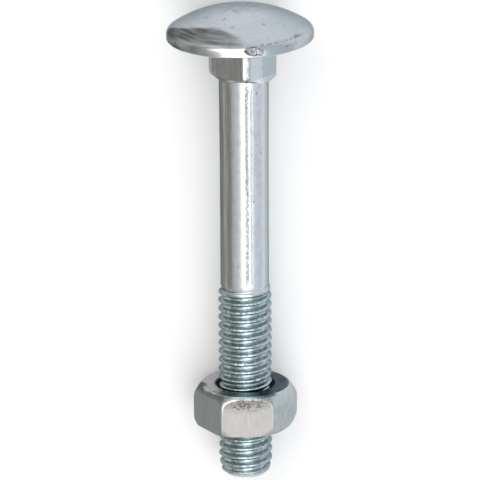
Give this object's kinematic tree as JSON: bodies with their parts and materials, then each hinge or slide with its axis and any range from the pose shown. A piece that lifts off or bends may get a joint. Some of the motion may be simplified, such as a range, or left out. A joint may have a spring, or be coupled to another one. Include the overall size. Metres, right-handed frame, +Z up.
{
  "type": "carriage bolt",
  "caption": "Square-neck carriage bolt with a low domed head, plain shank and right-hand thread, and a hexagon nut run part way up the thread.",
  "frame": {"origin": "on the floor, under the middle of the bounding box of the lying bolt", "axes": "+Z up; +X along the floor from the head to the point; the bolt's own axis leans down by 3.97 degrees from the head to the point"},
  "size_m": [0.0542, 0.0162, 0.0162],
  "materials": {
    "bolt_zinc": "bright zinc plate over cold-forged steel, slightly blue, with fine scuffs",
    "nut_zinc": "zinc plate, a little warmer and more worn than the bolt, with fine scratches"
  },
  "bodies": {
    "bolt": {"carriage_bolt": "bolt_zinc"},
    "nut": {"hex_nut": "nut_zinc"}
  },
  "joints": [
    {"name": "nut_travel", "type": "slide", "parent": "bolt", "child": "nut", "axis": [0.9976, 0, -0.0692], "range_m": [-0.01, 0.011]}
  ]
}
